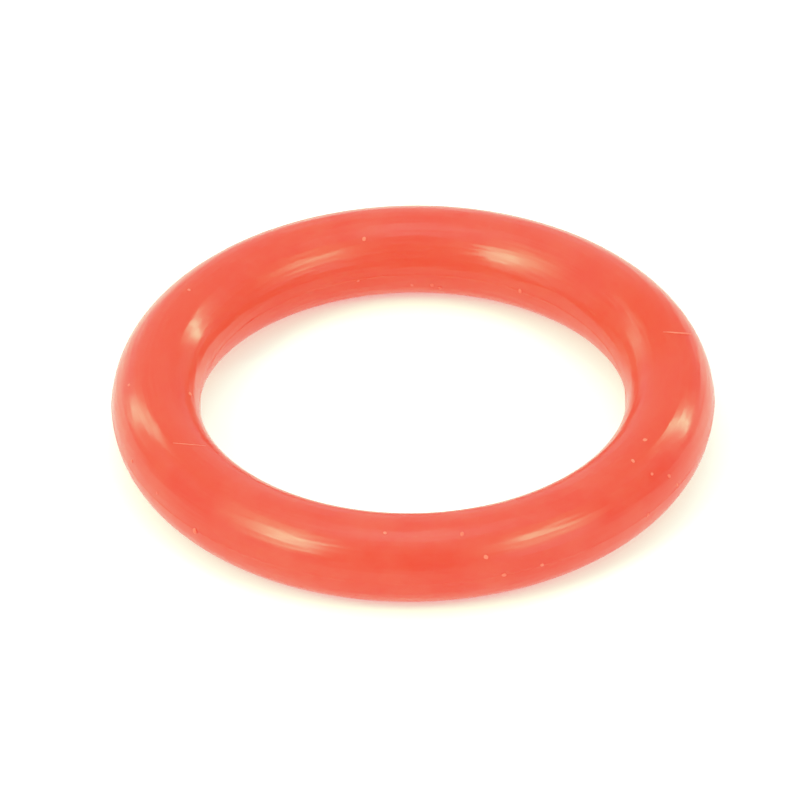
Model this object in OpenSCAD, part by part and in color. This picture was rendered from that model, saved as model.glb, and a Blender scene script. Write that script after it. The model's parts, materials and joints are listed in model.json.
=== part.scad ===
// Rubber sealing ring of round section, moulded in one piece.
// The ring lies flat: its axis is Z, and the origin is its centre,
// on the plane where the two halves of its mould met.

/* [Ring] */
// Inner diameter across the hole, measured on the round section
inner_d = 17.04; // [6:0.01:60]
// Diameter of the round section
section_d = 3.53; // [1:0.01:8]

/* [Mould line] */
// Height of the trimmed flash above the round section, inside and outside
flash_h = 0.03; // [0.02:0.01:0.1]
// Thickness of the flash at its trimmed edge
flash_t = 0.08; // [0.04:0.01:0.16]
// How much each flank of the flash flares out down to its root
flash_flare = 0.03; // [0.01:0.01:0.06]

/* [Hidden] */

// Radii of the section and of the circle that its centre runs on
section_r = section_d / 2;
mean_r = inner_d / 2 + section_r;

// The flash in the section's own plane, from the section's centre outwards.
// Its root lies one flare below the round surface, so that it fuses with it.
edge_x = section_r + flash_h;
edge_half_t = flash_t / 2;
root_half_t = edge_half_t + flash_flare;
root_x = sqrt(section_r * section_r - root_half_t * root_half_t) - flash_flare;

// Fineness of the round section and of the ring round its axis
section_fn = 96;
ring_fn = 240;

// Silicone rubber, orange red
silicone_color = [0.95, 0.4, 0.3];

// One flash in section, pointing away from the section's centre
module flash_profile() {
    polygon([
        [root_x, -root_half_t],
        [edge_x, -edge_half_t],
        [edge_x, edge_half_t],
        [root_x, root_half_t]
    ]);
}

// The whole section: the round, with a flash on the outer side and one on the inner side
module section_profile() {
    circle(d = section_d, $fn = section_fn);
    for (side = [0, 180])
        rotate(side) flash_profile();
}

// The ring is the section turned about the axis
module o_ring() {
    color(silicone_color)
        rotate_extrude($fn = ring_fn)
            translate([mean_r, 0])
                section_profile();
}

o_ring();
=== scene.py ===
"""Silicone sealing ring of round section, lying flat on a pale table in a light tent.

The ring is one moulded piece: a round section turned about the axis, with the fine trimmed flash of
its mould line on the inner and the outer side. A rule draws it with Geometry Nodes, from sizes read
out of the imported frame. Crumbs of dust and two lint hairs lie on it. The ring's axis is Z. Lengths are
in metres and angles in radians, unless a name ends in _mm or _px or a docstring says otherwise.
"""

import json
import logging
import math
from dataclasses import dataclass
from enum import Enum
from typing import NamedTuple

import bpy
from mathutils import Matrix, Vector
from mathutils.bvhtree import BVHTree


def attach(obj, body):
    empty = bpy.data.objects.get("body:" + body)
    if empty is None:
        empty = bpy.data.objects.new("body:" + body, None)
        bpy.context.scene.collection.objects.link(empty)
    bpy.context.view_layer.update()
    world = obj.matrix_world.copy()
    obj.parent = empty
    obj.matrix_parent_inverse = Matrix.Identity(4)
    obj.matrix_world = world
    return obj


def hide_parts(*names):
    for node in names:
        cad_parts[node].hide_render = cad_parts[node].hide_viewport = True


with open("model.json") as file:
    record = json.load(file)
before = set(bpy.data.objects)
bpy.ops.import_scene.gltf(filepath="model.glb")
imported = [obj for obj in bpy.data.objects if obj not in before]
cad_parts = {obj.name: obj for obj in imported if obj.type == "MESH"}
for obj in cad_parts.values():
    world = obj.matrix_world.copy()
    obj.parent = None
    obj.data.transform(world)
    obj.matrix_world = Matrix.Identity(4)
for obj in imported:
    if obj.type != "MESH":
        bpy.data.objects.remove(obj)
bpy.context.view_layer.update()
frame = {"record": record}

log = logging.getLogger("ring")

MM = 0.001
BODY = "root"
CAD_NODE = "o_ring"
LAMP_COLOUR = (1.08, 1.0, 0.63)
WALL_COLOUR = (1.0, 1.0, 1.0)

# Spans of a noise that are stretched to a whole range. The narrower one gives more contrast.
CRISP_SPAN = (0.35, 0.65)
SOFT_SPAN = (0.3, 0.7)

# The fine grain: octaves in a grain and in a patch of grains, and a patch's scale and height.
GRAIN_DETAIL = 2.0
PATCH_DETAIL = 3.0
PATCHES_PER_GRAIN = 0.12
PATCH_HEIGHT = 0.6

Socket = bpy.types.NodeSocket
Value = Socket | float | int


class Wiring:
    """Adds nodes to one tree and joins them, so that a rule reads as a line of sums."""

    def __init__(self, tree: bpy.types.NodeTree) -> None:
        """Keeps the tree that the nodes go into.

        Args:
            tree: The node tree.
        """
        self.tree = tree

    def node(self, kind: str, label: str, given: dict[str, object] | None = None,
             **settings: object) -> bpy.types.Node:
        """Adds a node.

        Args:
            kind: Type of the node.
            label: What it does, in plain words.
            given: Outputs or plain values for its inputs, by name.
            settings: Properties of the node.

        Returns:
            The new node.
        """
        made = self.tree.nodes.new(kind)
        made.label = label
        for name, value in settings.items():
            setattr(made, name, value)
        self.fill(made, given or {})
        return made

    def fill(self, made: bpy.types.Node, given: dict[str, object]) -> None:
        """Feeds some inputs of a node.

        Args:
            made: The node.
            given: Outputs or plain values, by the input's name.
        """
        for name, value in given.items():
            self.feed(made.inputs[name], value)

    def feed(self, socket: Socket, value: object) -> None:
        """Joins an output to a socket, or sets the socket if the value is plain.

        Args:
            socket: The input.
            value: An output socket, a number or a tuple.
        """
        if isinstance(value, bpy.types.NodeSocket):
            self.tree.links.new(value, socket)
        else:
            socket.default_value = value

    def calc(self, operation: str, *values: Value, label: str = "") -> Socket:
        """One sum on numbers.

        Args:
            operation: Name of the Math node's operation.
            values: Its inputs in order.
            label: What the result is.

        Returns:
            The result.
        """
        made = self.node("ShaderNodeMath", label or operation.lower(), operation=operation)
        for socket, value in zip(made.inputs, values):
            self.feed(socket, value)
        return made.outputs[0]

    def hypotenuse(self, first: Socket, second: Socket, label: str = "") -> Socket:
        """Length of the long side over two sides that meet at a right angle.

        Args:
            first: One side.
            second: The other side.
            label: What the result is.

        Returns:
            The length.
        """
        squares = (self.calc("MULTIPLY", side, side) for side in (first, second))
        return self.calc("SQRT", self.calc("ADD", *squares), label=label)

    def combine(self, *values: Value, label: str = "") -> Socket:
        """Joins numbers into a vector.

        Args:
            values: The numbers in order. Those left out are 0.
            label: What the vector is.

        Returns:
            The vector.
        """
        made = self.node("ShaderNodeCombineXYZ", label or "vector")
        for socket, value in zip(made.inputs, values):
            self.feed(socket, value)
        return made.outputs[0]

    def vector_calc(self, operation: str, *values: object, label: str = "") -> bpy.types.Node:
        """One sum on vectors.

        Args:
            operation: Name of the Vector Math node's operation.
            values: Its vector inputs in order.
            label: What the result is.

        Returns:
            The node, whose outputs are Vector and Value.
        """
        made = self.node("ShaderNodeVectorMath", label or operation.lower(), operation=operation)
        for socket, value in zip(made.inputs, values):
            self.feed(socket, value)
        return made

    def spread(self, value: Value, low: Value, high: Value, to_low: Value, to_high: Value,
               smooth: bool = False, label: str = "") -> Socket:
        """Maps a span of numbers to another span, and holds still past its ends.

        Args:
            value: The number to map.
            low: Where the span starts.
            high: Where it ends.
            to_low: The result at low.
            to_high: The result at high.
            smooth: Whether the ends ease in and out.
            label: What the result is.

        Returns:
            The mapped number.
        """
        ease = "SMOOTHSTEP" if smooth else "LINEAR"
        made = self.node("ShaderNodeMapRange", label or "span", {
            "Value": value, "From Min": low, "From Max": high, "To Min": to_low, "To Max": to_high,
        }, interpolation_type=ease)
        return made.outputs["Result"]

    def blend(self, amount: Value, first: object, second: object, label: str = "") -> Socket:
        """Mixes two colours.

        Args:
            amount: How much of the second shows, from 0 to 1.
            first: Colour at 0.
            second: Colour at 1.
            label: What the result is.

        Returns:
            The mixed colour.
        """
        made = self.node("ShaderNodeMix", label or "blend", data_type="RGBA")
        colours = [s for s in made.inputs if s.type == "RGBA"]
        self.feed(made.inputs["Factor"], amount)
        self.feed(colours[0], first)
        self.feed(colours[1], second)
        return next(s for s in made.outputs if s.type == "RGBA")

    def noise(self, vector: Value, scale: float, detail: float, label: str = "") -> Socket:
        """A cloudy pattern from 0 to 1.

        Args:
            vector: Where it is read.
            scale: Clouds in each unit of the vector.
            detail: Octaves of finer clouds.
            label: What the result is.

        Returns:
            The pattern's value.
        """
        made = self.node("ShaderNodeTexNoise", label or "noise",
                         {"Vector": vector, "Scale": scale, "Detail": detail}, noise_dimensions="3D")
        return made.outputs[0]


class Field(NamedTuple):
    """One named input or output of a node tree."""

    name: str
    kind: str
    value: object = None


def new_tree(name: str, kind: str, inputs: list[Field], outputs: list[Field]) -> bpy.types.NodeTree:
    """Makes an empty node tree with named sockets.

    Args:
        name: The tree's name.
        kind: Type of the tree.
        inputs: Its inputs, with their defaults.
        outputs: Its outputs.

    Returns:
        The tree.
    """
    tree = bpy.data.node_groups.new(name, kind)
    for way, fields in (("INPUT", inputs), ("OUTPUT", outputs)):
        for item in fields:
            socket = tree.interface.new_socket(item.name, in_out=way, socket_type=item.kind)
            if item.value is not None:
                socket.default_value = item.value
    return tree


def run_tree(name: str, tree: bpy.types.NodeTree, given: dict[str, object],
             start: bpy.types.Mesh | None = None) -> bpy.types.Object:
    """Runs a Geometry Nodes tree once and keeps what it makes as a plain mesh.

    Args:
        name: Name of the finished piece.
        tree: The tree to run.
        given: Its inputs by name.
        start: Mesh that goes into the tree, or none for an empty one.

    Returns:
        The finished piece, with no modifier left on it.
    """
    maker = bpy.data.objects.new(name + "_maker", start or bpy.data.meshes.new(name + "_start"))
    bpy.context.scene.collection.objects.link(maker)
    modifier = maker.modifiers.new("rule", "NODES")
    modifier.node_group = tree
    sockets = {s.name: s for s in tree.interface.items_tree if s.in_out == "INPUT"}
    for key, value in given.items():
        modifier[sockets[key].identifier] = value
    bpy.context.view_layer.update()
    evaluated = maker.evaluated_get(bpy.context.evaluated_depsgraph_get())
    mesh = bpy.data.meshes.new_from_object(evaluated)
    mesh.name = name
    maker.modifiers.remove(modifier)
    bpy.data.objects.remove(maker)
    piece = bpy.data.objects.new(name, mesh)
    bpy.context.scene.collection.objects.link(piece)
    return piece


def end_tree(wires: Wiring, geometry: Socket, finish: Socket, result: str) -> None:
    """Ends a Geometry Nodes tree with smooth shading, real meshes and the material.

    Args:
        wires: The tree's wiring.
        geometry: What the tree has made.
        finish: The material.
        result: Name of the tree's output.
    """
    smooth = wires.node("GeometryNodeSetShadeSmooth", "smooth", {"Geometry": geometry})
    real = wires.node("GeometryNodeRealizeInstances", "real mesh", {"Geometry": smooth.outputs[0]})
    dressed = wires.node("GeometryNodeSetMaterial", "finish",
                         {"Geometry": real.outputs[0], "Material": finish})
    wires.node("NodeGroupOutput", "result", {result: dressed.outputs[0]})


@dataclass(frozen=True)
class RingSizes:
    """The ring's sizes, which the frame's mounts state."""

    mean_radius: float
    section_radius: float
    flash_height: float
    flash_thickness: float

    @classmethod
    def from_record(cls, record: dict) -> "RingSizes":
        """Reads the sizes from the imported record.

        Args:
            record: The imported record.

        Returns:
            The sizes in metres.
        """
        mounts = {mount["name"]: mount for mount in record["mounts"]}
        mean_radius, _, section_radius = mounts["top_crown"]["pos_m"]
        rim = mounts["rim"]["dims"]
        return cls(
            mean_radius=mean_radius,
            section_radius=section_radius,
            flash_height=rim["r_mm"] * MM - mean_radius - section_radius,
            flash_thickness=rim["length_mm"] * MM,
        )


def build_grain_group() -> bpy.types.NodeTree:
    """Fine grain of a matt surface, as a height and an unevenness of shine.

    Returns:
        A group with inputs Place and Grain Size and outputs Height and Patches.
    """
    tree = new_tree(
        "fine_grain", "ShaderNodeTree",
        [Field("Place", "NodeSocketVector"), Field("Grain Size", "NodeSocketFloat", 0.1)],
        [Field("Height", "NodeSocketFloat"), Field("Patches", "NodeSocketFloat")],
    )
    wires = Wiring(tree)
    given = wires.node("NodeGroupInput", "given").outputs
    size = wires.combine(*[given["Grain Size"]] * 3, label="grain size each way")
    in_grains = wires.vector_calc("DIVIDE", given["Place"], size, label="place in grains").outputs[0]
    fine = wires.noise(in_grains, 1.0, GRAIN_DETAIL, "single grains")
    broad = wires.noise(in_grains, PATCHES_PER_GRAIN, PATCH_DETAIL, "patches of grains")
    height = wires.calc("MULTIPLY_ADD", broad, PATCH_HEIGHT, fine, label="height")
    wires.node("NodeGroupOutput", "result", {"Height": height, "Patches": broad})
    return tree


@dataclass(frozen=True)
class Coat:
    """A material in the making, with the fine grain already in it."""

    material: bpy.types.Material
    wires: Wiring
    shader: bpy.types.Node
    in_mm: Socket
    grains: bpy.types.Node

    @classmethod
    def start(cls, name: str, grain: bpy.types.NodeTree, grain_size_mm: float) -> "Coat":
        """Makes the material and lays the grain on it.

        Args:
            name: The material's name.
            grain: The fine grain group.
            grain_size_mm: How wide a grain is.

        Returns:
            The material and what its own nodes join to.
        """
        made = bpy.data.materials.new(name)
        made.use_nodes = True
        wires = Wiring(made.node_tree)
        place = wires.node("ShaderNodeTexCoord", "place on the piece")
        scaled = wires.vector_calc("SCALE", place.outputs["Object"], label="place in millimetres")
        wires.feed(scaled.inputs["Scale"], 1 / MM)
        in_mm = scaled.outputs[0]
        grains = wires.node("ShaderNodeGroup", "fine grain",
                            {"Place": in_mm, "Grain Size": grain_size_mm}, node_tree=grain)
        return cls(made, wires, made.node_tree.nodes["Principled BSDF"], in_mm, grains)

    def emboss(self, height: Socket, depth: float) -> None:
        """Gives the surface a fine relief.

        Args:
            height: The relief's height.
            depth: How much a height of 1 is.
        """
        bump = self.wires.node("ShaderNodeBump", "fine relief",
                               {"Height": height, "Strength": 1.0, "Distance": depth})
        self.wires.feed(self.shader.inputs["Normal"], bump.outputs[0])


@dataclass(frozen=True)
class SkinPlace:
    """Where a point of the ring's skin is. Across, along and from_axis are in millimetres.

    The angle runs round the section. Outward is 1 on the rim and -1 in the bore, upward is 1 on the
    crown, and aside is 1 at the section's centre on either side.
    """

    across: Socket
    along: Socket
    from_axis: Socket
    angle: Socket
    outward: Socket
    upward: Socket
    aside: Socket

    @classmethod
    def read(cls, coat: Coat, sizes: RingSizes) -> "SkinPlace":
        """Works the place out from the ring's own coordinates.

        Args:
            coat: The material in the making.
            sizes: The ring's sizes.

        Returns:
            The place.
        """
        calc = coat.wires.calc
        mean_mm = sizes.mean_radius / MM
        section_mm = sizes.section_radius / MM
        parts = coat.wires.node("ShaderNodeSeparateXYZ", "across, along and up")
        coat.wires.feed(parts.inputs[0], coat.in_mm)
        across, along, up = parts.outputs
        from_axis = coat.wires.hypotenuse(across, along, "from the axis")
        from_centre = calc("SUBTRACT", from_axis, mean_mm, label="from the section's centre")
        return cls(
            across, along, from_axis,
            angle=calc("ARCTAN2", up, from_centre, label="angle round the section"),
            outward=calc("DIVIDE", from_centre, section_mm, label="1 on the rim, -1 in the bore"),
            upward=calc("DIVIDE", up, section_mm, label="1 on the crown"),
            aside=calc("DIVIDE", calc("ABSOLUTE", across), mean_mm, label="1 on either side"),
        )


class DullPlace(NamedTuple):
    """A place where the skin has lost a share of its shine. Its middle and reach are in millimetres."""

    middle: tuple[float, float, float]
    reach: float
    loss: float


@dataclass(frozen=True)
class MouldedSilicone:
    """Orange-red silicone rubber with a satin mould finish. Light sinks in and comes out redder."""

    name: str = "moulded_silicone"
    deep: tuple[float, float, float] = (0.420, 0.0502, 0.0297)
    milky: tuple[float, float, float] = (0.435, 0.0634, 0.0396)
    cloud_size_mm: float = 2.4
    cloud_detail: float = 3.0
    # Painted light: the bore's wall is painted a paler colour, which stands in for light reaching it.
    bore_painted_light: tuple[float, float, float] = (0.450, 0.0800, 0.0480)
    bore_light_share: float = 0.4
    bore_from: float = -0.50
    bore_to: float = -0.80
    # Painted shade: the crown on either side is painted a deeper colour, which stands in for less light
    # there.
    crown_painted_shade: tuple[float, float, float] = (0.420, 0.0475, 0.0190)
    crown_shade_share: float = 0.8
    crown_from: float = 0.80
    crown_to: float = 0.94
    side_from: float = 0.60
    side_to: float = 0.95
    scatter_reach: float = 1.6 * MM
    scatter_by_colour: tuple[float, float, float] = (1.0, 0.18, 0.11)
    refraction: float = 1.41
    roughness_low: float = 0.17
    roughness_high: float = 0.25
    # A little above this roughness a render's denoiser takes a surface for matt, and draws its edge.
    roughness_limit: float = 0.27
    full_gloss: float = 0.5
    dull_places: tuple[DullPlace, ...] = (
        DullPlace((8.9, 2.75, 1.5), 3.8, 0.44),
        DullPlace((-4.1, 8.0, 1.2), 4.2, 0.20),
    )
    dull_core: float = 0.4
    dull_blur: float = 0.14
    grain_size_mm: float = 0.09
    grain_depth: float = 0.0012 * MM
    lathe_line_mm: float = 0.11
    lathe_height: float = 0.08
    streak_wide_mm: float = 0.27
    streak_long_mm: float = 3.0
    streak_detail: float = 1.0
    streak_depth: float = 0.027 * MM
    streaks_in_bore: float = 1.3
    streaks_from: float = -0.45
    streaks_to: float = -0.75

    def colour(self, coat: Coat, place: SkinPlace) -> Socket:
        """Clouds the rubber's colour, and paints light on the bore and shade on the side crowns.

        Args:
            coat: The material in the making.
            place: Where the skin is.

        Returns:
            The colour.
        """
        wires = coat.wires
        clouds = wires.noise(coat.in_mm, 1 / self.cloud_size_mm, self.cloud_detail, "clouds")
        milkiness = wires.spread(clouds, *CRISP_SPAN, 0.0, 1.0, True, "milkiness")
        colour = wires.blend(milkiness, (*self.deep, 1.0), (*self.milky, 1.0), "rubber colour")
        # Painted light: the bore's wall gets a paler colour.
        bore = wires.spread(place.outward, self.bore_to, self.bore_from, 1.0, 0.0, True, "on its wall")
        pale = wires.calc("MULTIPLY", bore, self.bore_light_share, label="how pale the bore's wall is")
        colour = wires.blend(pale, colour, (*self.bore_painted_light, 1.0), "paler in the bore")
        # Painted shade: the crown on either side gets a deeper colour.
        beside = wires.spread(place.aside, self.side_from, self.side_to, 0.0, 1.0, True, "beside")
        crown = wires.spread(place.upward, self.crown_from, self.crown_to, 0.0, self.crown_shade_share,
                             True, "on the crown")
        deeper = wires.calc("MULTIPLY", beside, crown, label="how much deeper the colour is")
        return wires.blend(deeper, colour, (*self.crown_painted_shade, 1.0), "deeper on the crown")

    def shine(self, coat: Coat) -> tuple[Socket, Socket]:
        """Makes the skin shine a little unevenly, and less in the dull places.

        Args:
            coat: The material in the making.

        Returns:
            The roughness and the gloss.
        """
        wires = coat.wires
        roughness = wires.spread(coat.grains.outputs["Patches"], *SOFT_SPAN,
                                 self.roughness_low, self.roughness_high, label="roughness")
        gloss: Value = self.full_gloss
        for spot in self.dull_places:
            away = wires.vector_calc("DISTANCE", coat.in_mm, spot.middle, label="from the dull place")
            kept = wires.spread(away.outputs["Value"], spot.reach * self.dull_core, spot.reach,
                                1.0 - spot.loss, 1.0, True, "share of the shine kept")
            gloss = wires.calc("MULTIPLY", gloss, kept, label="gloss")
            blur = wires.calc("MULTIPLY", wires.calc("SUBTRACT", 1.0, kept), self.dull_blur)
            roughness = wires.calc("ADD", roughness, blur, label="roughness")
        return wires.calc("MINIMUM", roughness, self.roughness_limit, label="roughness"), gloss

    def relief(self, coat: Coat, place: SkinPlace, sizes: RingSizes) -> Socket:
        """Adds to the grain what the turning of the mould left: fine even lines and uneven streaks.

        Args:
            coat: The material in the making.
            place: Where the skin is.
            sizes: The ring's sizes.

        Returns:
            The height, against the grain's depth.
        """
        calc = coat.wires.calc
        section_mm = sizes.section_radius / MM
        lines = calc("MULTIPLY", place.angle, section_mm / self.lathe_line_mm * math.tau)
        lathe = calc("MULTIPLY", calc("SINE", lines), self.lathe_height, label="lathe lines")
        streaks_out = sizes.mean_radius / MM / self.streak_long_mm
        heading = coat.wires.combine(
            calc("MULTIPLY", calc("DIVIDE", place.across, place.from_axis), streaks_out),
            calc("MULTIPLY", calc("DIVIDE", place.along, place.from_axis), streaks_out),
            calc("MULTIPLY", place.angle, section_mm / self.streak_wide_mm),
            label="round the axis and round the section",
        )
        turned = coat.wires.noise(heading, 1.0, self.streak_detail, "uneven turning of the mould")
        rougher = coat.wires.spread(place.outward, self.streaks_to, self.streaks_from,
                                    self.streaks_in_bore, 1.0, True, "deeper in the bore")
        depth = self.streak_depth / self.grain_depth
        streaks = calc("MULTIPLY", calc("MULTIPLY", turned, rougher), depth, label="streaks")
        return calc("ADD", calc("ADD", coat.grains.outputs["Height"], lathe), streaks, label="relief")

    def material(self, grain: bpy.types.NodeTree, sizes: RingSizes) -> bpy.types.Material:
        """Builds the material.

        Args:
            grain: The fine grain group.
            sizes: The ring's sizes, for what follows its section.

        Returns:
            The material.
        """
        coat = Coat.start(self.name, grain, self.grain_size_mm)
        place = SkinPlace.read(coat, sizes)
        roughness, gloss = self.shine(coat)
        coat.wires.fill(coat.shader, {
            "Base Color": self.colour(coat, place),
            "Roughness": roughness,
            "Specular IOR Level": gloss,
            "IOR": self.refraction,
            "Subsurface Weight": 1.0,
            "Subsurface Radius": self.scatter_by_colour,
            "Subsurface Scale": self.scatter_reach,
        })
        coat.emboss(self.relief(coat, place, sizes), self.grain_depth)
        return coat.material


@dataclass(frozen=True)
class PaleDust:
    """Crumbs and lint in a paler tone of the rubber's colour, quite matt."""

    name: str = "pale_dust"
    warm: tuple[float, float, float] = (0.70, 0.100, 0.066)
    light: tuple[float, float, float] = (0.76, 0.150, 0.104)
    roughness_low: float = 0.75
    roughness_high: float = 0.95
    grain_size_mm: float = 0.03
    grain_depth: float = 0.004 * MM

    def material(self, grain: bpy.types.NodeTree) -> bpy.types.Material:
        """Builds the material.

        Args:
            grain: The fine grain group.

        Returns:
            The material.
        """
        coat = Coat.start(self.name, grain, self.grain_size_mm)
        wires = coat.wires
        tone = wires.spread(coat.grains.outputs["Patches"], *CRISP_SPAN, 0.0, 1.0, label="tone")
        wires.fill(coat.shader, {
            "Base Color": wires.blend(tone, (*self.warm, 1.0), (*self.light, 1.0), "dust colour"),
            "Roughness": wires.spread(tone, 0.0, 1.0, self.roughness_low, self.roughness_high,
                                      label="roughness"),
        })
        coat.emboss(coat.grains.outputs["Height"], self.grain_depth)
        return coat.material


@dataclass(frozen=True)
class PaleTable:
    """Plain white board of a light table. It glows faintly, which lifts the shadows."""

    name: str = "pale_table"
    white: tuple[float, float, float] = (0.74, 0.63, 0.63)
    shade: tuple[float, float, float] = (0.72, 0.61, 0.61)
    light_from_below: tuple[float, float, float] = (1.25, 0.87, 0.83)
    glow: float = 0.38
    grain_size_mm: float = 0.4
    roughness: float = 0.6

    def material(self, grain: bpy.types.NodeTree) -> bpy.types.Material:
        """Builds the material.

        Args:
            grain: The fine grain group.

        Returns:
            The material.
        """
        coat = Coat.start(self.name, grain, self.grain_size_mm)
        patches = coat.grains.outputs["Patches"]
        colour = coat.wires.blend(patches, (*self.shade, 1.0), (*self.white, 1.0), "board colour")
        coat.wires.fill(coat.shader, {
            "Base Color": colour,
            "Roughness": self.roughness,
            "Emission Color": (*self.light_from_below, 1.0),
            "Emission Strength": self.glow,
        })
        return coat.material


@dataclass(frozen=True)
class SealRing:
    """The ring itself, drawn by a rule from its sizes."""

    sizes: RingSizes
    finish: MouldedSilicone
    name: str = "seal_ring"
    steps_around: int = 480
    steps_each_quarter: int = 30
    flash_flare: float = 0.03 * MM
    flash_softness: float = 0.03 * MM
    flash_share: float = 0.26
    flash_reach: float = math.radians(3.2)
    flash_unevenness: float = 1.2
    flash_patch: float = 1.6 * MM
    flash_patch_detail: float = 1.0
    cosine_floor: float = 0.5
    merge_within: float = 0.0005 * MM

    def rule(self) -> bpy.types.NodeTree:
        """Builds the tree that draws the ring.

        A flat grid is wrapped round the ring: its first side runs round the axis and its second round
        the section. Close to the parting plane the section's outline is the flash, a short straight
        nose with a flared flank on either side, and elsewhere it is the circle.

        Returns:
            The tree.
        """
        tree = new_tree(
            "ring_rule", "GeometryNodeTree",
            [
                Field("Mean Radius", "NodeSocketFloat", 0.01),
                Field("Section Radius", "NodeSocketFloat", 0.002),
                Field("Flash Height", "NodeSocketFloat", 0.00003),
                Field("Flash Thickness", "NodeSocketFloat", 0.0001),
                Field("Flash Flare", "NodeSocketFloat", 0.00003),
                Field("Flash Softness", "NodeSocketFloat", 0.00001),
                Field("Flash Share of Steps", "NodeSocketFloat", 0.25),
                Field("Flash Reach", "NodeSocketFloat", 0.05),
                Field("Unevenness", "NodeSocketFloat", 0.4),
                Field("Uneven Patch", "NodeSocketFloat", 0.002),
                Field("Steps Around", "NodeSocketInt", 360),
                Field("Steps Each Quarter", "NodeSocketInt", 24),
                Field("Merge Within", "NodeSocketFloat", 0.0000005),
                Field("Finish", "NodeSocketMaterial"),
            ],
            [Field("Ring", "NodeSocketGeometry")],
        )
        wires = Wiring(tree)
        given = wires.node("NodeGroupInput", "given").outputs
        calc = wires.calc

        grid = wires.node("GeometryNodeMeshGrid", "sheet to wrap", {
            "Size X": 1.0,
            "Size Y": 1.0,
            "Vertices X": calc("ADD", given["Steps Around"], 1),
            "Vertices Y": calc("MULTIPLY_ADD", given["Steps Each Quarter"], 4, 1),
        })
        place = wires.node("ShaderNodeSeparateXYZ", "place on the sheet")
        wires.feed(place.inputs[0], wires.node("GeometryNodeInputPosition", "position").outputs[0])
        share_around, share_up = (calc("ADD", part, 0.5) for part in place.outputs[:2])
        around = calc("MULTIPLY", share_around, math.tau, label="angle round the axis")
        quarters = calc("MULTIPLY", share_up, 4.0, label="quarters of the section")

        step = calc("PINGPONG", quarters, 1.0, label="share of the quarter")
        fine = wires.spread(step, 0.0, given["Flash Share of Steps"], 0.0, given["Flash Reach"])
        rest = calc("SUBTRACT", math.pi / 2, given["Flash Reach"])
        coarse = wires.spread(step, given["Flash Share of Steps"], 1.0, 0.0, rest)
        angle = calc("ADD", fine, coarse, label="angle from the parting plane")
        cosine = calc("COSINE", angle)
        sine = calc("SINE", angle)
        inner = calc("MULTIPLY", calc("GREATER_THAN", quarters, 1.0), calc("LESS_THAN", quarters, 3.0))
        outward = calc("MULTIPLY_ADD", inner, -2.0, 1.0, label="1 outside, -1 inside")
        lower = calc("GREATER_THAN", quarters, 2.0)
        upward = calc("MULTIPLY_ADD", lower, -2.0, 1.0, label="1 above, -1 below")

        cos_around = calc("COSINE", around)
        sin_around = calc("SINE", around)
        reach = given["Mean Radius"]
        turning = [calc("MULTIPLY", part, reach) for part in (cos_around, sin_around, outward)]
        heading = wires.combine(*turning, label="point round the axis")
        patch = calc("DIVIDE", 1.0, given["Uneven Patch"], label="patches in each metre")
        trimmed = wires.noise(heading, patch, self.flash_patch_detail, "trimmed more or less")
        loss = calc("MULTIPLY", trimmed, given["Unevenness"])
        flash = calc("MULTIPLY", given["Flash Height"], calc("SUBTRACT", 1.0, loss), label="flash here")

        edge = calc("ADD", given["Section Radius"], flash, label="flash edge")
        half = calc("MULTIPLY", given["Flash Thickness"], 0.5)
        safe = calc("MAXIMUM", cosine, self.cosine_floor)
        nose = calc("DIVIDE", edge, safe, label="outline on the nose")
        run = calc("ADD", flash, given["Flash Flare"], label="length of the flank")
        level = calc("ADD", calc("MULTIPLY", edge, given["Flash Flare"]), calc("MULTIPLY", half, run))
        slope = calc("ADD", calc("MULTIPLY", cosine, given["Flash Flare"]), calc("MULTIPLY", sine, run))
        flank = calc("DIVIDE", level, slope, label="outline on the flank")
        ridge = calc("SMOOTH_MIN", nose, flank, given["Flash Softness"], label="ridge")
        outline = calc("SMOOTH_MAX", ridge, given["Section Radius"], given["Flash Softness"],
                       label="outline")

        from_axis = calc("MULTIPLY_ADD", calc("MULTIPLY", outward, outline), cosine, reach)
        wrapped = wires.combine(
            calc("MULTIPLY", from_axis, cos_around),
            calc("MULTIPLY", from_axis, sin_around),
            calc("MULTIPLY", calc("MULTIPLY", upward, outline), sine),
            label="place on the ring",
        )

        shape = wires.node("GeometryNodeSetPosition", "wrap the sheet",
                           {"Geometry": grid.outputs["Mesh"], "Position": wrapped})
        closed = wires.node("GeometryNodeMergeByDistance", "close both seams",
                            {"Geometry": shape.outputs[0], "Distance": given["Merge Within"]})
        end_tree(wires, closed.outputs[0], given["Finish"], "Ring")
        return tree

    def build(self, grain: bpy.types.NodeTree) -> bpy.types.Object:
        """Draws the ring, dresses it and puts it in the CAD solid's place.

        Args:
            grain: The fine grain group.

        Returns:
            The finished ring.
        """
        sizes = self.sizes
        piece = run_tree(self.name, self.rule(), {
            "Mean Radius": sizes.mean_radius,
            "Section Radius": sizes.section_radius,
            "Flash Height": sizes.flash_height,
            "Flash Thickness": sizes.flash_thickness,
            "Flash Flare": self.flash_flare,
            "Flash Softness": self.flash_softness,
            "Flash Share of Steps": self.flash_share,
            "Flash Reach": self.flash_reach,
            "Unevenness": self.flash_unevenness,
            "Uneven Patch": self.flash_patch,
            "Steps Around": self.steps_around,
            "Steps Each Quarter": self.steps_each_quarter,
            "Merge Within": self.merge_within,
            "Finish": self.finish.material(grain, sizes),
        })
        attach(piece, BODY)
        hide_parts(CAD_NODE)
        log.info("%s: %d faces", piece.name, len(piece.data.polygons))
        return piece


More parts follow.
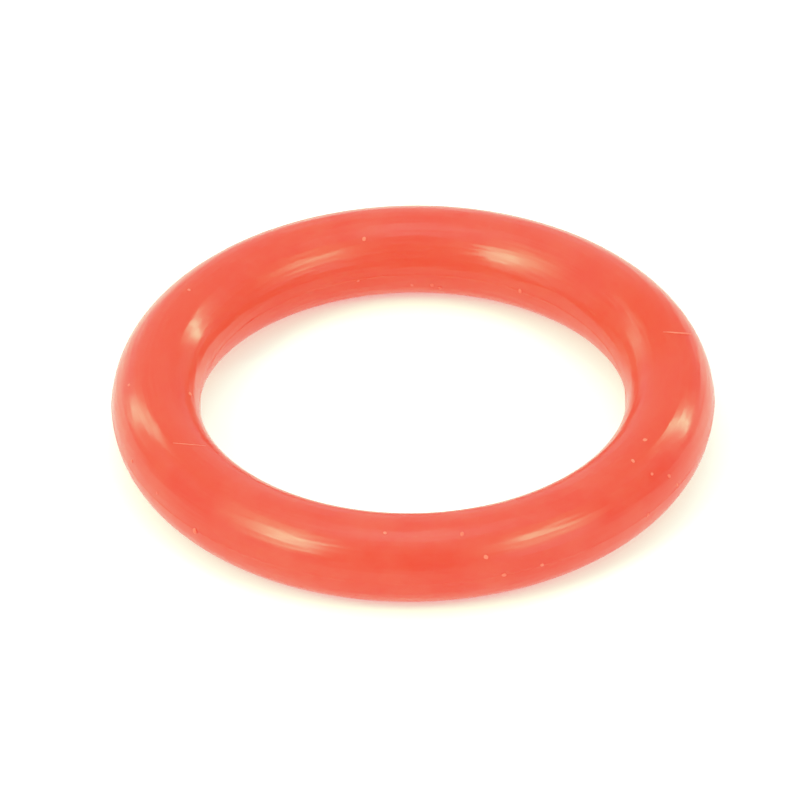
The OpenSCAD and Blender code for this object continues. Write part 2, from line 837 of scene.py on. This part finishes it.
@dataclass(frozen=True)
class PhotoView:
    """The camera. It looks down at the ring from the front, from far off through a long lens."""

    mean_radius: float
    elevation: float = math.radians(36.85)
    roll: float = math.radians(-0.83)
    distance: float = 0.92
    clip_factor: float = 10.0
    image_side_px: int = 800
    ring_centre_px: tuple[float, float] = (412.9, 401.8)
    mean_radius_px: float = 257.1
    sensor_mm: float = 36.0

    @property
    def metres_per_px(self) -> float:
        """Length at the ring's centre that one pixel spans."""
        return self.mean_radius / self.mean_radius_px

    @property
    def turn(self) -> Matrix:
        """The camera's turn.

        Returns:
            Its own right, up and backward directions as columns.
        """
        back = Vector((0.0, -math.cos(self.elevation), math.sin(self.elevation)))
        right = Vector((1.0, 0.0, 0.0))
        level = Matrix((right, back.cross(right), back)).transposed()
        return level @ Matrix.Rotation(self.roll, 3, "Z")

    @property
    def position(self) -> Vector:
        """Where the camera stands, which puts the ring's centre on its pixel.

        Returns:
            The place.
        """
        right, up, back = self.turn.transposed()
        middle = self.image_side_px / 2
        aside = (middle - self.ring_centre_px[0]) * self.metres_per_px
        above = (self.ring_centre_px[1] - middle) * self.metres_per_px
        return back * self.distance + right * aside + up * above

    @property
    def lens_mm(self) -> float:
        """Focal length that gives the ring its size in the picture."""
        return self.sensor_mm * self.distance / (self.image_side_px * self.metres_per_px)

    def ray(self, x_px: float, y_px: float) -> Vector:
        """Direction in which the camera sees a pixel.

        Args:
            x_px: Pixels from the picture's left edge.
            y_px: Pixels from its top edge.

        Returns:
            The direction, of length 1.
        """
        right, up, back = self.turn.transposed()
        middle = self.image_side_px / 2
        per_px = self.sensor_mm / self.lens_mm / self.image_side_px
        return ((x_px - middle) * per_px * right + (middle - y_px) * per_px * up - back).normalized()

    def build(self) -> bpy.types.Object:
        """Makes the camera and hands it to the scene.

        Returns:
            The camera.
        """
        data = bpy.data.cameras.new("camera")
        data.sensor_width = self.sensor_mm
        data.lens = self.lens_mm
        data.clip_start = self.distance / self.clip_factor
        data.clip_end = self.distance * self.clip_factor
        camera = bpy.data.objects.new("camera", data)
        camera.matrix_world = Matrix.Translation(self.position) @ self.turn.to_4x4()
        bpy.context.scene.collection.objects.link(camera)
        bpy.context.scene.camera = camera
        return camera


class Mark(Enum):
    """What lies on the ring."""

    CRUMB = "crumb"
    HAIR = "hair"


class Spot(NamedTuple):
    """A crumb: where the picture shows it, and how wide it is."""

    x_px: int
    y_px: int
    across_mm: float


class Hair(NamedTuple):
    """A lint hair: from where to where the picture shows it, and how thick it is."""

    from_x_px: int
    from_y_px: int
    to_x_px: int
    to_y_px: int
    across_mm: float


CRUMBS = (
    Spot(462, 534, 0.20), Spot(486, 557, 0.20), Spot(504, 575, 0.19), Spot(542, 565, 0.15),
    Spot(385, 533, 0.15), Spot(645, 440, 0.19), Spot(633, 461, 0.18), Spot(652, 474, 0.15),
    Spot(669, 476, 0.18), Spot(677, 485, 0.15), Spot(648, 515, 0.16), Spot(195, 531, 0.27),
    Spot(132, 461, 0.15), Spot(190, 394, 0.20), Spot(520, 291, 0.19), Spot(432, 285, 0.18),
    Spot(440, 288, 0.16), Spot(412, 285, 0.14), Spot(364, 239, 0.19), Spot(358, 281, 0.14),
    Spot(189, 290, 0.15), Spot(129, 385, 0.16), Spot(157, 493, 0.14),
)
HAIRS = (
    Hair(663, 332, 691, 334, 0.075),
    Hair(173, 443, 206, 446, 0.045),
)


@dataclass(frozen=True)
class SurfaceDust:
    """Crumbs and lint hairs that lie on the ring's skin."""

    finish: PaleDust
    view: PhotoView
    name: str = "surface_dust"
    flatness: float = 0.45
    slimness: float = 0.8
    lumpiness: float = 0.35
    lumps_across: float = 2.2
    lump_detail: float = 1.0
    ball_steps: int = 3
    hair_links: int = 12
    hair_sides: int = 8
    hair_tip: float = 0.35
    hair_taper: float = 0.6
    seed: int = 7

    def seat(self, skin: BVHTree, x_px: float, y_px: float) -> tuple[Vector, Vector] | None:
        """Finds the spot on the ring that shows at a pixel.

        Args:
            skin: The ring's surface.
            x_px: Pixels from the picture's left edge.
            y_px: Pixels from its top edge.

        Returns:
            The spot and the surface's outward direction there, or none off the ring.
        """
        place, normal, _, _ = skin.ray_cast(self.view.position, self.view.ray(x_px, y_px))
        return None if place is None else (place, normal)

    def start_mesh(self, skin: BVHTree) -> bpy.types.Mesh:
        """Puts one point on the ring for each crumb, and a chain of points for each hair.

        Args:
            skin: The ring's surface.

        Returns:
            A mesh of points and edges with the attributes facing, across and hair.
        """
        places, facing, across, hair, edges = [], [], [], [], []

        def put(x_px: float, y_px: float, width_mm: float, mark: Mark) -> bool:
            """Adds one point, if the ring shows at the pixel.

            Args:
                x_px: Pixels from the picture's left edge.
                y_px: Pixels from its top edge.
                width_mm: How wide the crumb or the hair is there.
                mark: What the point is part of.

            Returns:
                Whether the ring was there.
            """
            seat = self.seat(skin, x_px, y_px)
            if seat is None:
                return False
            places.append(seat[0])
            facing.append(seat[1])
            across.append(width_mm * MM)
            hair.append(mark is Mark.HAIR)
            return True

        for spot in CRUMBS:
            if not put(spot.x_px, spot.y_px, spot.across_mm, Mark.CRUMB):
                log.warning("a crumb at %d, %d misses the ring", spot.x_px, spot.y_px)
        for strand in HAIRS:
            before = False
            for link in range(self.hair_links + 1):
                share = link / self.hair_links
                x_px = strand.from_x_px + (strand.to_x_px - strand.from_x_px) * share
                y_px = strand.from_y_px + (strand.to_y_px - strand.from_y_px) * share
                here = put(x_px, y_px, strand.across_mm, Mark.HAIR)
                if here and before:
                    edges.append((len(places) - 2, len(places) - 1))
                before = here
        mesh = bpy.data.meshes.new(self.name + "_start")
        mesh.from_pydata(places, edges, [])
        mesh.attributes.new("facing", "FLOAT_VECTOR", "POINT").data.foreach_set(
            "vector", [number for normal in facing for number in normal])
        mesh.attributes.new("across", "FLOAT", "POINT").data.foreach_set("value", across)
        mesh.attributes.new("hair", "BOOLEAN", "POINT").data.foreach_set("value", hair)
        return mesh

    def rule(self) -> bpy.types.NodeTree:
        """Builds the tree that turns points into crumbs and chains into hairs.

        Returns:
            The tree.
        """
        tree = new_tree(
            "dust_rule", "GeometryNodeTree",
            [
                Field("Seats", "NodeSocketGeometry"),
                Field("Flatness", "NodeSocketFloat", 0.5),
                Field("Lumpiness", "NodeSocketFloat", 0.3),
                Field("Seed", "NodeSocketInt", 1),
                Field("Finish", "NodeSocketMaterial"),
            ],
            [Field("Dust", "NodeSocketGeometry")],
        )
        wires = Wiring(tree)
        given = wires.node("NodeGroupInput", "given").outputs

        def read(name: str, kind: str) -> Socket:
            """Reads one attribute of the points.

            Args:
                name: The attribute's name.
                kind: Its data type.

            Returns:
                Its value.
            """
            made = wires.node("GeometryNodeInputNamedAttribute", name, {"Name": name}, data_type=kind)
            return made.outputs["Attribute"]

        parts = wires.node("GeometryNodeSeparateGeometry", "hairs apart from crumbs",
                           {"Geometry": given["Seats"], "Selection": read("hair", "BOOLEAN")})

        ball = wires.node("GeometryNodeMeshIcoSphere", "one crumb",
                          {"Radius": 0.5, "Subdivisions": self.ball_steps})
        position = wires.node("GeometryNodeInputPosition", "position").outputs[0]
        lumps = wires.noise(position, self.lumps_across, self.lump_detail, "lumps")
        swell = wires.vector_calc("SCALE", wires.node("GeometryNodeInputNormal", "outwards").outputs[0])
        above_mean = wires.calc("SUBTRACT", lumps, 0.5)
        wires.feed(swell.inputs["Scale"], wires.calc("MULTIPLY", above_mean, given["Lumpiness"]))
        crumb = wires.node("GeometryNodeSetPosition", "lumpy crumb",
                           {"Geometry": ball.outputs["Mesh"], "Offset": swell.outputs[0]})

        upright = wires.node("FunctionNodeAlignEulerToVector", "flat on the skin",
                             {"Vector": read("facing", "FLOAT_VECTOR")}, axis="Z")
        spin = wires.node("FunctionNodeRandomValue", "turn", {"Seed": given["Seed"]}, data_type="FLOAT")
        least, most = (s for s in spin.inputs if s.type == "VALUE" and s.enabled)
        wires.feed(least, 0.0)
        wires.feed(most, math.tau)
        spun = next(s for s in spin.outputs if s.type == "VALUE" and s.enabled)
        turned = wires.node("FunctionNodeRotateEuler", "turned at random", {
            "Rotation": upright.outputs[0],
            "Rotate By": wires.combine(0.0, 0.0, spun, label="about the facing direction"),
        }, space="LOCAL")
        width = read("across", "FLOAT")
        size = wires.combine(
            width,
            wires.calc("MULTIPLY", width, self.slimness),
            wires.calc("MULTIPLY", width, given["Flatness"]),
            label="flattened size",
        )
        sown = wires.node("GeometryNodeInstanceOnPoints", "a crumb on each point", {
            "Points": parts.outputs["Inverted"],
            "Instance": crumb.outputs[0],
            "Rotation": turned.outputs[0],
            "Scale": size,
        })

        chain = wires.node("GeometryNodeMeshToCurve", "hair path", {"Mesh": parts.outputs["Selection"]})
        share = wires.node("GeometryNodeSplineParameter", "along the hair").outputs["Factor"]
        within = wires.calc("MULTIPLY", share, wires.calc("SUBTRACT", 1.0, share))
        middle = wires.calc("MULTIPLY", within, 4.0, label="0 at the ends, 1 in the middle")
        girth = wires.spread(middle, 0.0, self.hair_taper, self.hair_tip, 1.0, label="tapered ends")
        half_width = wires.calc("MULTIPLY", width, 0.5)
        slim = wires.node("GeometryNodeSetCurveRadius", "hair width", {
            "Curve": chain.outputs["Curve"],
            "Radius": wires.calc("MULTIPLY", half_width, girth),
        })
        loop = wires.node("GeometryNodeCurvePrimitiveCircle", "round hair",
                          {"Resolution": self.hair_sides, "Radius": 1.0})
        strand = wires.node("GeometryNodeCurveToMesh", "hair", {
            "Curve": slim.outputs[0],
            "Profile Curve": loop.outputs[0],
            "Scale": wires.node("GeometryNodeInputRadius", "hair radius").outputs[0],
            "Fill Caps": True,
        })

        both = wires.node("GeometryNodeJoinGeometry", "crumbs and hairs")
        for piece in (strand.outputs[0], sown.outputs[0]):
            wires.feed(both.inputs[0], piece)
        end_tree(wires, both.outputs[0], given["Finish"], "Dust")
        return tree

    def build(self, ring: bpy.types.Object, grain: bpy.types.NodeTree) -> bpy.types.Object:
        """Sows the dust on the ring.

        Args:
            ring: The finished ring.
            grain: The fine grain group.

        Returns:
            The dust as one piece.
        """
        skin = BVHTree.FromPolygons([v.co for v in ring.data.vertices],
                                    [tuple(p.vertices) for p in ring.data.polygons])
        piece = run_tree(self.name, self.rule(), {
            "Flatness": self.flatness,
            "Lumpiness": self.lumpiness,
            "Seed": self.seed,
            "Finish": self.finish.material(grain),
        }, self.start_mesh(skin))
        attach(piece, BODY)
        log.info("%s: %d faces", piece.name, len(piece.data.polygons))
        return piece


def toward(azimuth: float, elevation: float) -> Vector:
    """A direction seen from the ring.

    Args:
        azimuth: Turn from the camera's side, to the right, in degrees.
        elevation: Height above the table, in degrees.

    Returns:
        The direction, of length 1.
    """
    side = math.radians(azimuth)
    height = math.radians(elevation)
    level = math.cos(height)
    return Vector((math.sin(side) * level, -math.cos(side) * level, math.sin(height)))


@dataclass(frozen=True)
class SoftBox:
    """A flat soft light that faces the ring. Its angles are as the ring sees them, in degrees."""

    name: str
    azimuth: float
    elevation: float
    wide: float
    high: float
    glow: float
    tilt: float = 0.0
    colour: tuple[float, float, float] = LAMP_COLOUR
    distance: float = 0.35

    def build(self) -> bpy.types.Object:
        """Hangs the light.

        Returns:
            The light.
        """
        data = bpy.data.lights.new(self.name, "AREA")
        data.shape = "RECTANGLE"
        data.size = 2 * self.distance * math.tan(math.radians(self.wide / 2))
        data.size_y = 2 * self.distance * math.tan(math.radians(self.high / 2))
        data.energy = self.glow * math.pi * data.size * data.size_y
        data.color = self.colour
        light = bpy.data.objects.new(self.name, data)
        away = toward(self.azimuth, self.elevation)
        light.matrix_world = (Matrix.Translation(away * self.distance)
                              @ away.to_track_quat("Z", "Y").to_matrix().to_4x4()
                              @ Matrix.Rotation(math.radians(self.tilt), 4, "Z"))
        light.visible_camera = False
        bpy.context.scene.collection.objects.link(light)
        return light


class Patch(NamedTuple):
    """A soft-edged part of the tent's wall, lighter or darker than the rest. Angles are in degrees."""

    name: str
    azimuth: float
    elevation: float
    half_width: float
    half_height: float
    glow: float
    even_part: float = 0.6
    colour: tuple[float, float, float] = WALL_COLOUR


@dataclass(frozen=True)
class Studio:
    """White light tent with softboxes round a white board."""

    floor_level: float
    board: PaleTable
    board_side: float = 1.2
    wall_glow: float = 1.0
    backdrop_glow: float = 2.0
    patch_edge: float = 1.4
    softboxes: tuple[SoftBox, ...] = (
        SoftBox("front_left_light", -48, 38.7, 17, 23, 11.5),
        SoftBox("front_right_light", 54, 41.5, 15, 12, 8.2),
        SoftBox("rear_right_light", 127.5, 25.2, 3.4, 31, 24.0, tilt=-29),
        SoftBox("rear_left_light", -135.0, 25, 6.5, 31, 9.2, tilt=22),
    )
    patches: tuple[Patch, ...] = (
        Patch("glow_under_the_left_light", -54, 8, 20, 16, 1.5),
        Patch("glow_under_the_right_light", 46, 14, 20, 14, 2.4),
        Patch("roof", 180, 87, 22, 22, 3.1, 0.0),
        Patch("opening_for_the_camera", -4, 18, 28, 34, 0.5, 0.85),
        Patch("dim_right_wall", 92, 20, 18, 30, 0.5),
        Patch("dim_rear_right_wall", 138, 14, 22, 20, 0.5, 0.4),
        Patch("dim_rear_left_wall", -116, 13, 20, 20, 0.5, 0.4),
        Patch("wing_of_the_front_left_light", -76, 58, 12, 7, 5.0, 0.5, LAMP_COLOUR),
        Patch("wing_of_the_front_right_light", 66, 58, 14, 9, 2.5, 0.6, LAMP_COLOUR),
        Patch("spill_of_the_front_left_light", -63, 43, 11, 20, 7.2, 0.2, LAMP_COLOUR),
        Patch("tail_of_the_front_left_light", -50, 21, 12, 10, 6.0, 0.2, LAMP_COLOUR),
        Patch("spill_of_the_front_right_light", 54, 38, 18, 15, 6.4, 0.3, LAMP_COLOUR),
    )

    def build_patch_group(self) -> bpy.types.NodeTree:
        """Mask of one soft-edged patch of the tent's wall.

        Returns:
            A group with the inputs Direction, Middle, Right, Up, Half Width, Half Height and Even Part,
            and the output Mask.
        """
        tree = new_tree(
            "tent_patch", "ShaderNodeTree",
            [
                Field("Direction", "NodeSocketVector"), Field("Middle", "NodeSocketVector"),
                Field("Right", "NodeSocketVector"), Field("Up", "NodeSocketVector"),
                Field("Half Width", "NodeSocketFloat", 0.5),
                Field("Half Height", "NodeSocketFloat", 0.5),
                Field("Even Part", "NodeSocketFloat", 0.6),
            ],
            [Field("Mask", "NodeSocketFloat")],
        )
        wires = Wiring(tree)
        given = wires.node("NodeGroupInput", "given").outputs
        ahead, aside, above = (
            wires.vector_calc("DOT_PRODUCT", given["Direction"], given[name]).outputs["Value"]
            for name in ("Middle", "Right", "Up")
        )
        across = wires.calc("DIVIDE", wires.calc("ARCTAN2", aside, ahead), given["Half Width"])
        upright = wires.calc("DIVIDE", wires.calc("ARCTAN2", above, ahead), given["Half Height"])
        far = wires.hypotenuse(across, upright, "1 at half width or height")
        mask = wires.spread(far, given["Even Part"], self.patch_edge, 1.0, 0.0, True, "soft edge")
        wires.node("NodeGroupOutput", "result", {"Mask": mask})
        return tree

    def build_tent(self) -> bpy.types.World:
        """Lights the tent's wall, and shows it plain behind the board's edge.

        Returns:
            The world.
        """
        world = bpy.data.worlds.new("light_tent")
        world.use_nodes = True
        wires = Wiring(world.node_tree)
        direction = wires.node("ShaderNodeTexCoord", "direction").outputs["Generated"]
        group = self.build_patch_group()
        glow: object = (self.wall_glow,) * 3 + (1.0,)
        for patch in self.patches:
            middle = toward(patch.azimuth, patch.elevation)
            turn = math.radians(patch.azimuth)
            right = Vector((math.cos(turn), math.sin(turn), 0.0))
            mask = wires.node("ShaderNodeGroup", patch.name, {
                "Direction": direction,
                "Middle": middle,
                "Right": right,
                "Up": right.cross(middle) * -1.0,
                "Half Width": math.radians(patch.half_width),
                "Half Height": math.radians(patch.half_height),
                "Even Part": patch.even_part,
            }, node_tree=group)
            shown = (*(patch.glow * part for part in patch.colour), 1.0)
            glow = wires.blend(mask.outputs["Mask"], glow, shown, patch.name)
        seen = wires.node("ShaderNodeLightPath", "seen by the camera").outputs["Is Camera Ray"]
        glow = wires.blend(seen, glow, (self.backdrop_glow,) * 3 + (1.0,), "plain backdrop")
        back = world.node_tree.nodes["Background"]
        wires.feed(back.inputs["Color"], glow)
        bpy.context.scene.world = world
        return world

    def build_board(self, grain: bpy.types.NodeTree) -> bpy.types.Object:
        """Lays the board that the ring rests on.

        Args:
            grain: The fine grain group.

        Returns:
            The board.
        """
        half = self.board_side / 2
        ways = ((-1, -1), (1, -1), (1, 1), (-1, 1))
        corners = [(half * x, half * y, self.floor_level) for x, y in ways]
        mesh = bpy.data.meshes.new("board")
        mesh.from_pydata(corners, [], [(0, 1, 2, 3)])
        mesh.materials.append(self.board.material(grain))
        board = bpy.data.objects.new("board", mesh)
        bpy.context.scene.collection.objects.link(board)
        return board

    def build(self, grain: bpy.types.NodeTree) -> None:
        """Sets up the tent, the lights and the board.

        Args:
            grain: The fine grain group.
        """
        self.build_tent()
        for softbox in self.softboxes:
            softbox.build()
        self.build_board(grain)
        log.info("studio: %d softboxes", len(self.softboxes))


@dataclass(frozen=True)
class CameraResponse:
    """How the camera renders strong red: flat for long, and full only where the light is near white."""

    brightest_red: float = 2.0
    red: tuple[tuple[float, float], ...] = (
        (0.40, 0.46), (0.65, 0.76), (0.80, 0.868), (0.95, 0.905),
        (1.20, 0.930), (1.35, 0.965), (1.50, 1.01),
    )
    past_white: float = 1.3

    def apply(self) -> None:
        """Gives the scene's view this response."""
        view = bpy.context.scene.view_settings
        view.view_transform = "Standard"
        view.use_curve_mapping = True
        mapping = view.curve_mapping
        mapping.use_clip = False
        mapping.white_level = (self.brightest_red, 1.0, 1.0)
        curve = mapping.curves[0]
        curve.points[-1].location = (1.0, self.past_white)
        for light, shown in self.red:
            curve.points.new(light / self.brightest_red, shown)
        mapping.update()


def main() -> None:
    """Builds the camera, the ring, the dust that the camera sees on it, and the studio."""
    logging.basicConfig(level=logging.INFO, format="%(name)s %(message)s")
    sizes = RingSizes.from_record(frame["record"])
    grain = build_grain_group()
    view = PhotoView(sizes.mean_radius)
    view.build()
    ring = SealRing(sizes, MouldedSilicone()).build(grain)
    SurfaceDust(PaleDust(), view).build(ring, grain)
    Studio(-sizes.section_radius, PaleTable()).build(grain)
    CameraResponse().apply()


if __name__ == "__main__":
    main()
